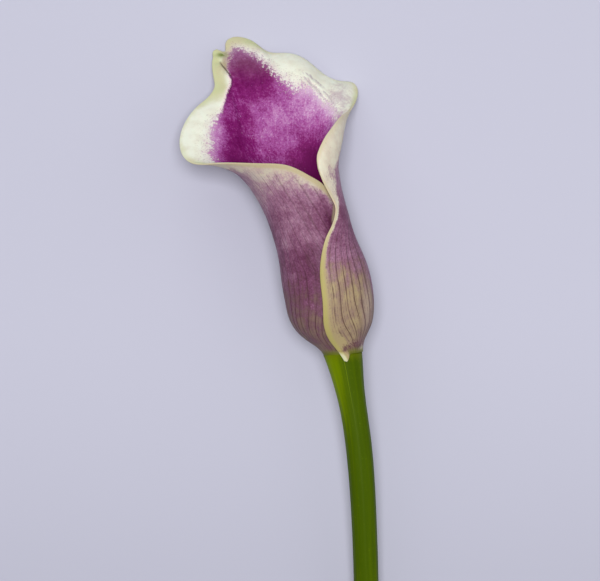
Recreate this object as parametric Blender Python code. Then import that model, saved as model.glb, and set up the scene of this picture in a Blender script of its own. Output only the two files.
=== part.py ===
"""A cut calla lily bloom lying on its back: stem, spathe and spadix.

The flower is drawn in its own frame, in millimetres: Y runs up the flower from the foot of the spathe,
X goes to the right and Z comes out of the front, where the spathe overlaps. An angle round the throat is
0 at the front, 90 on the left, 180 at the back and 270 on the right. lay_down() then turns the bloom
onto its back rim and its cut end, with the middle of its underside at the origin.
"""

import math

import bpy
import numpy as np
from mathutils import Matrix

MM = 0.001

# ---- Spathe: the rolled leaf --------------------------------------------------------------------
# The throat: height, centre in X, centre in Z, half width, half depth.
THROAT = np.array([
    (-2.0, 0.0, 33.0, 6.6, 7.0),
    (0.0, -0.45, 33.0, 7.15, 7.1),
    (2.2, -1.35, 33.0, 8.1, 7.9),
    (6.0, -3.3, 33.0, 11.0, 10.2),
    (10.5, -4.5, 33.0, 13.95, 12.6),
    (18.5, -5.3, 33.0, 15.9, 14.8),
    (27.0, -6.5, 33.0, 16.2, 15.4),
    (35.0, -8.2, 33.0, 15.6, 15.2),
    (43.0, -10.9, 33.0, 14.9, 14.8),
    (51.5, -13.7, 32.6, 15.2, 15.0),
    (60.0, -17.1, 32.0, 16.6, 16.2),
    (68.0, -20.4, 31.2, 19.4, 18.0),
])
# The free edge, from the margin tucked in at the front, round the back, to the margin that covers it:
# angle, X, Y, Z, how far the edge flares outwards in degrees, height where its rib leaves the throat.
RIM = np.array([
    (-42, -2.6, 56.2, 39.6, 0, 42),
    (-35, -4.9, 58.9, 42.6, 2, 44),
    (-27, -7.4, 61.3, 45.2, 5, 46),
    (-12, -11.3, 63.6, 48.0, 8, 48),
    (10, -19.0, 67.2, 50.0, 14, 52),
    (35, -28.9, 68.2, 48.6, 24, 55),
    (55, -37.5, 68.5, 46.0, 48, 56),
    (72, -46.9, 68.5, 42.0, 80, 56),
    (84, -54.5, 69.2, 37.0, 100, 56),
    (94, -58.4, 74.3, 31.0, 108, 56),
    (103, -58.0, 81.9, 25.0, 98, 56),
    (112, -53.6, 89.6, 19.5, 84, 56),
    (121, -48.0, 95.2, 14.5, 70, 56),
    (125, -46.5, 98.2, 12.2, 66, 56),
    (129, -46.7, 101.0, 10.0, 62, 56),
    (137, -47.6, 106.5, 6.0, 56, 56),
    (145, -46.4, 111.6, 3.0, 54, 56),
    (151, -42.7, 116.2, 1.0, 54, 56),
    (157, -38.9, 117.8, 0.0, 54, 56),
    (163, -33.8, 116.4, 0.5, 54, 56),
    (170, -28.5, 112.5, 2.0, 54, 56),
    (180, -21.1, 111.5, 3.0, 55, 56),
    (192, -14.0, 109.3, 3.5, 58, 56),
    (206, -7.3, 104.0, 3.0, 62, 56),
    (220, -0.6, 101.2, 1.5, 68, 56),
    (232, 4.3, 100.5, 0.5, 74, 58),
    (243, 5.9, 96.7, 3.5, 74, 60),
    (253, 5.1, 92.6, 11.0, 60, 62),
    (263, 3.0, 89.0, 20.0, 30, 64),
    (275, -0.1, 86.4, 31.0, -5, 64),
    (286, -3.3, 82.3, 38.8, -20, 63),
    (296, -6.2, 78.3, 43.2, -25, 61),
    (305, -8.4, 74.0, 46.0, -22, 59),
    (314, -9.5, 69.9, 47.2, -14, 57),
    (320, -9.2, 66.8, 46.9, -10, 56),
])
# Where the two margins run on the throat: height, angle.
INNER_MARGIN = np.array([(-2, -14), (0, -14), (6, -22), (14, -34), (27, -42), (45, -44), (66, -44)])
OUTER_MARGIN = np.array([
    (-2, 361), (0, 366.5), (2.7, 369.5), (6.7, 369), (11.4, 368.2), (18.5, 366.4), (25.5, 365.6), (30, 364),
    (34, 360.3), (39.7, 350), (43.1, 341), (46.5, 329.7), (50.7, 318.2), (53.6, 313.5), (56, 315.2),
    (62.7, 322), (66, 324)])
OVERLAP_STEP = 2.2      # one full turn of the leaf steps this far outwards
# The foot hugs the stem on a slight slant, and the covering margin hangs a little lower: angle, height.
FOOT = np.array([
    (-42, 0), (200, 0), (284, 0), (296, -0.5), (304, -1.8), (311, -2.8), (316, -3.1), (320, -2.8)])
FOOT_LIFT, FOOT_SLANT, FOOT_FADE = 1.35, 0.08, 12.0
# Soft swellings: angle, share of the way up, width of each, push in X, Y, Z.
SWELLINGS = (
    (130, 0.80, 22.0, 0.13, -3.2, 0.0, -0.5),   # the left wall opens out
    (117, 0.87, 13.0, 0.10, 0.0, 0.0, -1.8),    # the left lobe sinks back
    (80, 0.86, 14.0, 0.10, 0.7, 0.0, 0.0),      # and is undercut
    (265, 0.80, 25.0, 0.16, -1.4, 0.0, 0.0),    # the right wall draws in
    (262, 0.67, 18.0, 0.07, 0.5, 0.0, 0.0),     # less so lower down
    (145.8, 1.00, 2.0, 0.03, -1.2, 0.2, 0.8),   # the point at the tip
)
# The crease that runs down from the tip: its line, and which side of it stands proud (+ is the left).
CREASE = np.array([
    (-45.6, 108.5, -0.6), (-44.4, 106.0, -0.8), (-43.0, 103.6, -0.7), (-41.6, 101.3, 0.0),
    (-42.6, 98.2, 1.0), (-43.8, 95.0, 1.2), (-45.0, 91.5, 0.8), (-46.4, 88.0, 0.0)])
CREASE_WIDTH, CREASE_LIFT, CREASE_SLIDE, CREASE_FADE = 2.6, 1.2, 0.6, 2.0
CREASE_FROM, CREASE_TO, CREASE_STEPS = 100, 175, 141
EDGE_THICKNESS, WALL_THICKNESS, EDGE_TAPER = 0.5, 1.0, 8.0
# How a rib curves from its neck to the rim: it arrives leaning left, by pulls that are shares of the span.
ARRIVING = np.array([-0.25, 0.97, 0])
NECK_PULL, RIM_PULL = 0.40, 0.35
AIM_ABOVE_NECK, AIM_TOP = 8, 60     # the flare points away from the throat's centre at this height
RIB_STEPS = 40                      # points worked out on each half of a rib before it is evened out
RIBS, RINGS = 84, 27
TIP_ANGLE, TIP_CROWDING, TIP_SPREAD = 137, 2.0, 16   # more ribs where the tip is creased
ANGLE_STEPS = 2000

# ---- Stem and spadix ----------------------------------------------------------------------------
# The stalk's centre line: height, X, Z, radius. It bends back to the surface at its cut end.
STALK = np.array([
    (0.8, -0.1, 33.0, 6.85),
    (-3.5, 0.95, 33.0, 6.3),
    (-8.6, 1.9, 33.0, 5.6),
    (-15.8, 3.2, 32.8, 4.95),
    (-30.0, 5.4, 32.2, 4.7),
    (-52.0, 7.3, 30.4, 4.55),
    (-81.0, 8.5, 26.6, 4.45),
    (-130.0, 9.5, 18.2, 4.35),
])
# Above the shoulder comes the part that the foot of the spathe wraps, then a crown: height, radius.
COLLAR = ((0.15, 4.4), (4.0, 4.4), (5.0, 3.6))
STALK_SIDES, STALK_RINGS = 28, 26
# The flower spike in the throat: height, radius.
SPIKE = np.array([
    (6.2, 3.3), (8.0, 3.8), (12.0, 4.1), (20.0, 4.0), (28.0, 3.9), (36.0, 3.4), (42.0, 2.5), (45.0, 1.5),
    (46.0, 0.6)])
SPIKE_SIDES, SPIKE_RINGS = 20, 20

# ---- How it lies --------------------------------------------------------------------------------
LEAN_BACK, ROLL = 3.4, -0.7   # degrees about X, then about Y


def smooth(knots, values, places):
    """A natural cubic spline through the values at the knots, read at the places."""
    knots = np.asarray(knots, float)
    values = np.asarray(values, float).reshape(len(knots), -1)
    gaps = np.diff(knots)
    slopes = np.diff(values, axis=0) / gaps[:, None]
    system = np.eye(len(knots))
    target = np.zeros_like(values)
    for i in range(1, len(knots) - 1):
        system[i, i - 1:i + 2] = gaps[i - 1], 2 * (gaps[i - 1] + gaps[i]), gaps[i]
        target[i] = 6 * (slopes[i] - slopes[i - 1])
    bend = np.linalg.solve(system, target)
    places = np.atleast_1d(np.asarray(places, float))
    i = np.clip(np.searchsorted(knots, places) - 1, 0, len(knots) - 2)
    gap = gaps[i][:, None]
    a = (knots[i + 1] - places)[:, None] / gap
    b = 1 - a
    curve = ((a**3 - a) * bend[i] + (b**3 - b) * bend[i + 1]) * gap**2 / 6
    return a * values[i] + b * values[i + 1] + curve


def unit(vector):
    return vector / np.linalg.norm(vector)


def evenly(line, count):
    """The polyline as this many points, evenly spaced along it."""
    steps = np.linalg.norm(np.diff(line, axis=0), axis=1)
    length = np.concatenate([[0], np.cumsum(steps)])
    at = np.linspace(0, length[-1], count)
    return np.stack([np.interp(at, length, line[:, k]) for k in range(3)], axis=1)


def throat_points(angles, heights):
    """Points on the rolled throat, a spiral that steps outwards as it goes round."""
    centre_x, centre_z, half_width, half_depth = smooth(THROAT[:, 0], THROAT[:, 1:], heights).T
    step = OVERLAP_STEP * (angles - 180) / 360
    turn = np.radians(angles)
    x = centre_x - (half_width + step) * np.sin(turn)
    y = heights + (FOOT_LIFT + FOOT_SLANT * x) * np.clip(1 - heights / FOOT_FADE, 0, 1)
    return np.stack([x, y, centre_z + (half_depth + step) * np.cos(turn)], axis=1)


def rib(share, foot, rim, flare, neck):
    """A line of points from the foot to the rim: up the throat to its neck, then a curve out to the rim."""
    heights = np.linspace(foot, neck, RIB_STEPS)
    inner = smooth(*INNER_MARGIN.T, heights)[:, 0]
    outer = smooth(*OUTER_MARGIN.T, heights)[:, 0]
    lower = throat_points(inner + (outer - inner) * share, heights)
    start = lower[-1]
    leaving = unit(lower[-1] - lower[-2])
    centre = smooth(THROAT[:, 0], THROAT[:, 1:3], min(neck + AIM_ABOVE_NECK, AIM_TOP))[0]
    outward = unit(np.array([rim[0] - centre[0], 0, rim[2] - centre[1]]))
    tilt = math.radians(flare)
    arriving = math.cos(tilt) * ARRIVING + math.sin(tilt) * outward
    span = np.linalg.norm(rim - start)
    handles = start + leaving * span * NECK_PULL, rim - arriving * span * RIM_PULL
    t = np.linspace(0, 1, RIB_STEPS)[1:, None]
    upper = (1 - t)**3 * start + 3 * (1 - t)**2 * t * handles[0]
    upper += 3 * (1 - t) * t**2 * handles[1] + t**3 * rim
    return evenly(np.concatenate([lower, upper]), RINGS)


def rib_angles():
    """Angles of the ribs, closer together by the tip."""
    fine = np.linspace(RIM[0, 0], RIM[-1, 0], ANGLE_STEPS)
    crowding = 1 + TIP_CROWDING * np.exp(-((fine - TIP_ANGLE) / TIP_SPREAD)**2)
    total = np.concatenate([[0], np.cumsum((crowding[1:] + crowding[:-1]) / 2)])
    return np.interp(np.linspace(0, total[-1], RIBS), total, fine)


def push_crease(points):
    """Lifts the leaf on one side of the crease line and lowers it on the other."""
    places = np.linspace(0, len(CREASE) - 1, CREASE_STEPS)
    line = smooth(np.arange(len(CREASE)), CREASE, places)
    run = np.gradient(line[:, :2], axis=0)
    run /= np.linalg.norm(run, axis=1)[:, None]
    offsets = points[:, None, :2] - line[None, :, :2]
    nearest = (offsets**2).sum(axis=2).argmin(axis=1)
    offset = offsets[np.arange(len(points)), nearest]
    run = run[nearest]
    across = offset[:, 1] * run[:, 0] - offset[:, 0] * run[:, 1]
    past_end = (offset * run).sum(axis=1)
    bell = np.exp(-(across / CREASE_WIDTH)**2 - (past_end / CREASE_FADE)**2) * line[nearest, 2]
    points[:, 2] -= CREASE_LIFT * across / CREASE_WIDTH * bell
    points[:, 0] += CREASE_SLIDE * bell


def spathe_surface():
    """The outer face of the spathe as a grid of points, ribs by rings."""
    angles = rib_angles()
    shares = (angles - angles[0]) / (angles[-1] - angles[0])
    rim = smooth(RIM[:, 0], RIM[:, 1:], angles)
    feet = smooth(*FOOT.T, angles)[:, 0]
    grid = np.array([
        rib(share, foot, row[:3], row[3], row[4]) for share, foot, row in zip(shares, feet, rim)])
    up = np.linspace(0, 1, RINGS)[None, :]
    for angle, share, angle_width, share_width, *push in SWELLINGS:
        bell = np.exp(-((angles[:, None] - angle) / angle_width)**2 - ((up - share) / share_width)**2)
        grid += bell[..., None] * np.array(push)
    creased = (angles > CREASE_FROM) & (angles < CREASE_TO)
    part = grid[creased].reshape(-1, 3)
    push_crease(part)
    grid[creased] = part.reshape(-1, RINGS, 3)
    return grid


def material(name, colour, roughness):
    made = bpy.data.materials.new(name)
    made.use_nodes = True
    shader = made.node_tree.nodes["Principled BSDF"]
    shader.inputs["Base Color"].default_value = (*colour, 1)
    shader.inputs["Roughness"].default_value = roughness
    shader.inputs["Metallic"].default_value = 0
    return made


def mesh_object(name, points, faces, colour, roughness):
    """An object from points in millimetres."""
    mesh = bpy.data.meshes.new(name)
    mesh.from_pydata((np.asarray(points) * MM).tolist(), [], faces)
    mesh.materials.append(material(name, colour, roughness))
    mesh.shade_smooth()
    made = bpy.data.objects.new(name, mesh)
    bpy.context.scene.collection.objects.link(made)
    return made


def edge_distance(grid):
    """How far each grid point is from the nearest free edge or the foot."""
    along = np.linalg.norm(np.diff(grid, axis=1), axis=2).cumsum(axis=1)
    along = np.concatenate([np.zeros((len(grid), 1)), along], axis=1)
    round_ = np.linalg.norm(np.diff(grid, axis=0), axis=2).cumsum(axis=0)
    round_ = np.concatenate([np.zeros((1, grid.shape[1])), round_], axis=0)
    return np.minimum.reduce([along[:, -1:] - along, round_, round_[-1:] - round_])


def make_spathe():
    """The leaf's outer face, thickened inwards, thinner along its free edges."""
    grid = spathe_surface()
    faces = [
        (i * RINGS + j, i * RINGS + j + 1, (i + 1) * RINGS + j + 1, (i + 1) * RINGS + j)
        for i in range(RIBS - 1) for j in range(RINGS - 1)]
    spathe = mesh_object("spathe", grid.reshape(-1, 3), faces, (0.36, 0.11, 0.27), 0.5)
    full = spathe.vertex_groups.new(name="full_thickness")
    for index, distance in enumerate(edge_distance(grid).reshape(-1)):
        full.add([index], min(1.0, distance / EDGE_TAPER), "REPLACE")
    wall = spathe.modifiers.new("wall", "SOLIDIFY")
    wall.thickness = WALL_THICKNESS * MM
    wall.offset = -1
    wall.vertex_group = full.name
    wall.thickness_vertex_group = EDGE_THICKNESS / WALL_THICKNESS
    return spathe


def loft(name, rings, colour, roughness):
    """A closed solid through rings of equal length, each end capped with one flat face."""
    sides = len(rings[0])
    points = np.concatenate(rings)
    faces = []
    for i in range(len(rings) - 1):
        for j in range(sides):
            k = (j + 1) % sides
            faces.append((i * sides + j, i * sides + k, (i + 1) * sides + k, (i + 1) * sides + j))
    faces.append(tuple(reversed(range(sides))))
    faces.append(tuple(range(len(points) - sides, len(points))))
    return mesh_object(name, points, faces, colour, roughness)


def ring(centre, direction, radius, sides):
    """A circle round the direction, which runs up the flower."""
    up = unit(np.asarray(direction, float))
    side = unit(np.cross(up, (0, 0, 1)))
    front = np.cross(side, up)
    turns = np.linspace(0, 2 * math.pi, sides, endpoint=False)[:, None]
    return np.asarray(centre) + radius * (np.cos(turns) * front + np.sin(turns) * side)


def make_stem():
    """The stalk from its cut end up to the shoulder, then the collar and crown inside the spathe."""
    heights = np.linspace(STALK[-1, 0], STALK[0, 0], STALK_RINGS)
    line = smooth(-STALK[:, 0], STALK[:, 1:], -heights)
    centres = np.stack([line[:, 0], heights, line[:, 1]], axis=1)
    directions = np.gradient(centres, axis=0)
    directions[-1] = (-FOOT_SLANT, 1, 0)
    rings = [ring(c, d, r, STALK_SIDES) for c, d, r in zip(centres, directions, line[:, 2])]
    top = centres[-1]
    for height, radius in COLLAR:
        lean = (THROAT[3, 1] - top[0]) * height / THROAT[3, 0]
        rings.append(ring(top + (lean, height, 0), (0, 1, 0), radius, STALK_SIDES))
    return loft("stem", rings, (0.10, 0.17, 0.012), 0.45)


def make_spadix():
    """The blunt spike on the crown of the stem, following the middle of the throat."""
    heights = np.linspace(SPIKE[0, 0], SPIKE[-1, 0], SPIKE_RINGS)
    radii = smooth(*SPIKE.T, heights)[:, 0]
    middle = smooth(THROAT[:, 0], THROAT[:, 1:3], heights)
    rings = [
        ring((x, height, z), (0, 1, 0), radius, SPIKE_SIDES)
        for height, radius, (x, z) in zip(heights, radii, middle)]
    return loft("spadix", rings, (0.75, 0.52, 0.08), 0.7)


def lay_down(pieces):
    """Turns the flower onto its back, with the middle of its underside at the origin."""
    lean = Matrix.Rotation(math.radians(LEAN_BACK), 4, "X") @ Matrix.Rotation(math.radians(ROLL), 4, "Y")
    bpy.context.view_layer.update()
    depsgraph = bpy.context.evaluated_depsgraph_get()
    points = np.array([
        lean @ vertex.co for piece in pieces for vertex in piece.evaluated_get(depsgraph).data.vertices])
    low, high = points.min(axis=0), points.max(axis=0)
    flower = bpy.data.objects.new("flower", None)
    bpy.context.scene.collection.objects.link(flower)
    to_origin = Matrix.Translation((-(low[0] + high[0]) / 2, -(low[1] + high[1]) / 2, -low[2]))
    flower.matrix_world = to_origin @ lean
    for piece in pieces:
        piece.parent = flower


def main():
    for old in list(bpy.data.objects):
        bpy.data.objects.remove(old, do_unlink=True)
    lay_down([make_stem(), make_spathe(), make_spadix()])


main()
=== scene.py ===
# %% [markdown]
# # A cut calla lily bloom
# A calla is simpler than it looks. One leaf, the spathe, is rolled into a funnel round a finger of tiny
# flowers, the spadix, and both grow from one fleshy stalk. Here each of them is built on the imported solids,
# which say where everything is. The bloom lies on its back, as a cut flower does when it is put down.

import math

import bpy
import numpy as np
from mathutils import Matrix, Vector


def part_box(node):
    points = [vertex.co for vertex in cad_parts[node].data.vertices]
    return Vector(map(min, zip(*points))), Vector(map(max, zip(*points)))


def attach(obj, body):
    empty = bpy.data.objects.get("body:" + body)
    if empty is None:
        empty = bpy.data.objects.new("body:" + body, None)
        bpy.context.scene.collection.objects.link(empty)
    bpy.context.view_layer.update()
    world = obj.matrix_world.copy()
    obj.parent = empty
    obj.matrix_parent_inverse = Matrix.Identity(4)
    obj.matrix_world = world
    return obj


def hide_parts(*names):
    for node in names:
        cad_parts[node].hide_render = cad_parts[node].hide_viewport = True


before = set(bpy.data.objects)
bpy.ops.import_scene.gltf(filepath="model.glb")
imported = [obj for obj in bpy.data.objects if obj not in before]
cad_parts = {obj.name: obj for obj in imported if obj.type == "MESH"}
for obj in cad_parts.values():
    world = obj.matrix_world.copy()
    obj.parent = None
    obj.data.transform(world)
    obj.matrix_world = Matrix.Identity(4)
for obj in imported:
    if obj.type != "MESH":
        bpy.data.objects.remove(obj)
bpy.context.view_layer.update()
print("packed pieces:", ", ".join(sorted(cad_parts)))

# %% [markdown]
# ## Where the flower lies
# It is easiest to draw a flower upright, in a frame of its own: X to the right, Y up the flower from the
# foot of the spathe, Z out of its open front, all in millimetres. One matrix then lays it down. The matrix
# has the lean and roll at which the real bloom rests, and it is pinned to the middle of the stem's cut end.

# %% The flower's own frame
MM = 0.001
LEAN_BACK, ROLL = 3.4, -0.7                 # degrees about X, then about Y
CUT_END = Vector((9.5, -130, 18.2))         # the middle of the cut, in the flower's own frame
CUT_REACH = 3 * MM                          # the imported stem's last ring lies within this of its end
FOOT_CENTRE = Vector((0, 0, 33))            # the middle of the spathe's foot

stem_points = np.array([v.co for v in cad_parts["stem"].data.vertices])
at_cut = stem_points[:, 1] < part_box("stem")[0].y + CUT_REACH
cut_low, cut_high = stem_points[at_cut].min(axis=0), stem_points[at_cut].max(axis=0)
lean = Matrix.Rotation(math.radians(LEAN_BACK), 4, "X") @ Matrix.Rotation(math.radians(ROLL), 4, "Y")
place = Matrix.Translation(Vector((cut_low + cut_high) / 2) - lean @ (CUT_END * MM)) @ lean
print("foot of the spathe at", [round(v, 4) for v in place @ (FOOT_CENTRE * MM)])


def laid_down(points):
    """Points in the flower's frame, in millimetres, as points in the room, in metres."""
    turn = np.array(place.to_3x3())
    return np.asarray(points) * MM @ turn.T + np.array(place.translation)


# %% [markdown]
# ## Small tools for smooth shapes
# A petal has no straight lines, so everything here is a smooth curve through a few chosen points. A natural
# cubic spline is the curve that a thin strip of wood takes when it is bent past pins.

# %% Curves and soft steps
def smooth(knots, values, places):
    """A natural cubic spline through the values at the knots, read at the places."""
    knots = np.asarray(knots, float)
    values = np.asarray(values, float).reshape(len(knots), -1)
    gaps = np.diff(knots)
    slopes = np.diff(values, axis=0) / gaps[:, None]
    system = np.eye(len(knots))
    target = np.zeros_like(values)
    for i in range(1, len(knots) - 1):
        system[i, i - 1:i + 2] = gaps[i - 1], 2 * (gaps[i - 1] + gaps[i]), gaps[i]
        target[i] = 6 * (slopes[i] - slopes[i - 1])
    bend = np.linalg.solve(system, target)
    places = np.atleast_1d(np.asarray(places, float))
    i = np.clip(np.searchsorted(knots, places) - 1, 0, len(knots) - 2)
    gap = gaps[i][:, None]
    a = (knots[i + 1] - places)[:, None] / gap
    b = 1 - a
    curve = ((a**3 - a) * bend[i] + (b**3 - b) * bend[i + 1]) * gap**2 / 6
    return a * values[i] + b * values[i + 1] + curve


def soft_step(value, start, end):
    """0 before start, 1 after end, and a smooth slope between them."""
    t = np.clip((value - start) / (end - start), 0, 1)
    return t * t * (3 - 2 * t)


def bell(value, middle, width):
    """1 at the middle, fading to almost 0 at twice the width from it."""
    return np.exp(-((value - middle) / width)**2)


def unit(vectors):
    """The same directions, each of length 1."""
    return vectors / np.linalg.norm(vectors, axis=-1, keepdims=True)


def travelled(grid, axis):
    """How far each point of a grid is from the grid's first row, measured along that axis."""
    steps = np.linalg.norm(np.diff(grid, axis=axis), axis=2).cumsum(axis=axis)
    return np.insert(steps, 0, 0, axis=axis)


print("a soft step is %.2f high a quarter of the way along" % soft_step(0.25, 0, 1))


# %% [markdown]
# ## The leaf: a fan of ribs
# The spathe is one leaf. Its veins all start in the small ring where it grips the stem, run side by side up
# the rolled throat, and spread like a fan into the flared mouth. So it is built as the leaf itself grows:
# as ribs from the foot to the rim. The throat is a spiral, which leaves room for one margin to pass over
# the other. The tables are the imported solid's own, so the fine leaf fills the same space.

# %% The throat and the rim
# The throat: height, centre in X, centre in Z, half width, half depth.
THROAT = np.array([
    (-2, 0, 33, 6.6, 7), (0, -0.45, 33, 7.15, 7.1), (2.2, -1.35, 33, 8.1, 7.9), (6, -3.3, 33, 11, 10.2),
    (10.5, -4.5, 33, 13.95, 12.6), (18.5, -5.3, 33, 15.9, 14.8), (27, -6.5, 33, 16.2, 15.4),
    (35, -8.2, 33, 15.6, 15.2), (43, -10.9, 33, 14.9, 14.8), (51.5, -13.7, 32.6, 15.2, 15),
    (60, -17.1, 32, 16.6, 16.2), (68, -20.4, 31.2, 19.4, 18),
])
# The rim, from the margin tucked in at the front, round the back, to the margin that covers it: angle, X, Y,
# Z, how far the edge flares outwards in degrees, height where its rib leaves the throat.
RIM = np.array([
    (-42, -2.6, 56.2, 39.6, 0, 42), (-35, -4.9, 58.9, 42.6, 2, 44), (-27, -7.4, 61.3, 45.2, 5, 46),
    (-12, -11.3, 63.6, 48, 8, 48), (10, -19, 67.2, 50, 14, 52), (35, -28.9, 68.2, 48.6, 24, 55),
    (55, -37.5, 68.5, 46, 48, 56), (72, -46.9, 68.5, 42, 80, 56), (84, -54.5, 69.2, 37, 100, 56),
    (94, -58.4, 74.3, 31, 108, 56), (103, -58, 81.9, 25, 98, 56), (112, -53.6, 89.6, 19.5, 84, 56),
    (121, -48, 95.2, 14.5, 70, 56), (125, -46.5, 98.2, 12.2, 66, 56), (129, -46.7, 101, 10, 62, 56),
    (137, -47.6, 106.5, 6, 56, 56), (145, -46.4, 111.6, 3, 54, 56), (151, -42.7, 116.2, 1, 54, 56),
    (157, -38.9, 117.8, 0, 54, 56), (163, -33.8, 116.4, 0.5, 54, 56), (170, -28.5, 112.5, 2, 54, 56),
    (180, -21.1, 111.5, 3, 55, 56), (192, -14, 109.3, 3.5, 58, 56), (206, -7.3, 104, 3, 62, 56),
    (220, -0.6, 101.2, 1.5, 68, 56), (232, 4.3, 100.5, 0.5, 74, 58), (243, 5.9, 96.7, 3.5, 74, 60),
    (253, 5.1, 92.6, 11, 60, 62), (263, 3, 89, 20, 30, 64), (275, -0.1, 86.4, 31, -5, 64),
    (286, -3.3, 82.3, 38.8, -20, 63), (296, -6.2, 78.3, 43.2, -25, 61), (305, -8.4, 74, 46, -22, 59),
    (314, -9.5, 69.9, 47.2, -14, 57), (320, -9.2, 66.8, 46.9, -10, 56),
])
# Where the two margins run on the throat: height, angle.
INNER_MARGIN = np.array([(-2, -14), (0, -14), (6, -22), (14, -34), (27, -42), (45, -44), (66, -44)])
OUTER_MARGIN = np.array([
    (-2, 361), (0, 366.5), (2.7, 369.5), (6.7, 369), (11.4, 368.2), (18.5, 366.4), (25.5, 365.6), (30, 364),
    (34, 360.3), (39.7, 350), (43.1, 341), (46.5, 329.7), (50.7, 318.2), (53.6, 313.5), (56, 315.2),
    (62.7, 322), (66, 324)])
OVERLAP_STEP = 2.2      # one full turn of the leaf steps this far outwards
# The foot: angle, height. It is lifted and slants, which fades out at the last height.
FOOT = np.array([
    (-42, 0), (200, 0), (284, 0), (296, -0.5), (304, -1.8), (311, -2.8), (316, -3.1), (320, -2.8)])
FOOT_LIFT, FOOT_SLANT, FOOT_FADE = 1.35, 0.08, 12
# Soft swellings: angle, share of the way up, width of each, push in X, Y, Z.
SWELLINGS = (
    (130, 0.80, 22, 0.13, -3.2, 0, -0.5), (117, 0.87, 13, 0.10, 0, 0, -1.8),
    (265, 0.80, 25, 0.16, -1.4, 0, 0), (262, 0.67, 18, 0.07, 0.5, 0, 0), (80, 0.86, 14, 0.10, 0.7, 0, 0),
    (145.8, 1.00, 2, 0.03, -1.2, 0.2, 0.8),
)
# How a rib's curve reaches a rim that doesn't flare, and how long the curve's two handles are.
ARRIVING, NECK_PULL, RIM_PULL = np.array([-0.25, 0.97, 0]), 0.40, 0.35
# The rim flares away from the throat's middle, taken this far above the neck, but no higher than the second.
AIM_ABOVE_NECK, AIM_TOP = 8, 60
print("the throat is", THROAT[-1, 0], "mm deep and the leaf", RIM[:, 2].max(), "mm long")

# %% [markdown]
# ## Drawing one rib
# Up to its neck a rib lies on the throat. Above it, a curve with two handles carries it out to the rim: the
# first handle keeps the direction of the throat, and the second sets how the edge flares. The points are
# then spread evenly along the rib. Ribs stand closer together at the tip, where the leaf is folded most
# sharply.

# %% The fan of ribs
RIBS, RINGS = 300, 151
CROWDED = ((137, 2.4, 16), (212, 1.3, 16))      # angle, how many more ribs, over how many degrees
RIB_STEPS, ANGLE_STEPS = 60, 2000               # how finely a rib and the rim are first drawn
# The slit beside the pointed tip: angle, how much shorter the rib is there.
SLIT = np.array([(145.5, 0), (146.9, 0.5), (147.5, 4.2), (148.7, 2.4), (150, 0.7), (151.5, 0)])
SLIT_REACH = 14         # the points above this far from the rim move to make room for the slit
# The fold at the tip dies out below the rim: there the ribs are eased into one another, many times over.
EASED_ANGLE, EASED_WIDTH, EASINGS = 131, 14, 60
EASED_FROM, EASED_TO = (0.5, 0.62), (0.86, 0.95)        # shares of the way up


def throat_points(angles, heights):
    """Points on the rolled throat, a spiral that steps outwards as it goes round."""
    centre_x, centre_z, half_width, half_depth = smooth(THROAT[:, 0], THROAT[:, 1:], heights).T
    step = OVERLAP_STEP * (angles - 180) / 360
    turn = np.radians(angles)
    x = centre_x - (half_width + step) * np.sin(turn)
    y = heights + (FOOT_LIFT + FOOT_SLANT * x) * np.clip(1 - heights / FOOT_FADE, 0, 1)
    return np.stack([x, y, centre_z + (half_depth + step) * np.cos(turn)], axis=1)


def rib(share, foot, rim, flare, neck, cut):
    """A line of points from the foot to the rim: up the throat to its neck, then a curve out to the rim."""
    heights = np.linspace(foot, neck, RIB_STEPS)
    inner = smooth(*INNER_MARGIN.T, heights)[:, 0]
    outer = smooth(*OUTER_MARGIN.T, heights)[:, 0]
    lower = throat_points(inner + (outer - inner) * share, heights)
    start = lower[-1]
    leaving = unit(lower[-1] - lower[-2])
    centre = smooth(THROAT[:, 0], THROAT[:, 1:3], min(neck + AIM_ABOVE_NECK, AIM_TOP))[0]
    outward = unit(np.array([rim[0] - centre[0], 0, rim[2] - centre[1]]))
    tilt = math.radians(flare)
    arriving = math.cos(tilt) * ARRIVING + math.sin(tilt) * outward
    span = np.linalg.norm(rim - start)
    first, second = start + leaving * span * NECK_PULL, rim - arriving * span * RIM_PULL
    t = np.linspace(0, 1, RIB_STEPS)[1:, None]
    upper = (1 - t)**3 * start + 3 * (1 - t)**2 * t * first + 3 * (1 - t) * t**2 * second + t**3 * rim
    line = np.concatenate([lower, upper])
    length = travelled(line[None], 1)[0]
    at = np.linspace(0, length[-1], RINGS)
    at = at - cut * soft_step(at, length[-1] - SLIT_REACH, length[-1])
    return np.stack([np.interp(at, length, line[:, k]) for k in range(3)], axis=1)


fine = np.linspace(RIM[0, 0], RIM[-1, 0], ANGLE_STEPS)
crowding = (1 + sum(more * bell(fine, angle, spread) for angle, more, spread in CROWDED)).cumsum()
angles = np.interp(np.linspace(crowding[0], crowding[-1], RIBS), crowding, fine)
shares = (angles - angles[0]) / (angles[-1] - angles[0])
rim = smooth(RIM[:, 0], RIM[:, 1:], angles)
feet = smooth(*FOOT.T, angles)[:, 0]
cuts = np.interp(angles, *SLIT.T)
leaf = np.array([
    rib(share, foot, row[:3], row[3], row[4], cut) for share, foot, row, cut in zip(shares, feet, rim, cuts)])
upward = np.linspace(0, 1, RINGS)[None, :]
for angle, share, angle_width, share_width, *push in SWELLINGS:
    swell = bell(angles[:, None], angle, angle_width) * bell(upward, share, share_width)
    leaf += swell[..., None] * np.array(push)
under_tip = bell(angles, EASED_ANGLE, EASED_WIDTH)[:, None] * soft_step(upward, *EASED_FROM)
under_tip *= 1 - soft_step(upward, *EASED_TO)
for _ in range(EASINGS):
    between = (np.roll(leaf, 1, axis=0) + np.roll(leaf, -1, axis=0)) / 2
    leaf += under_tip[..., None] * (between - leaf)
print("leaf grid:", leaf.shape[0], "ribs of", leaf.shape[1], "points")

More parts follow.
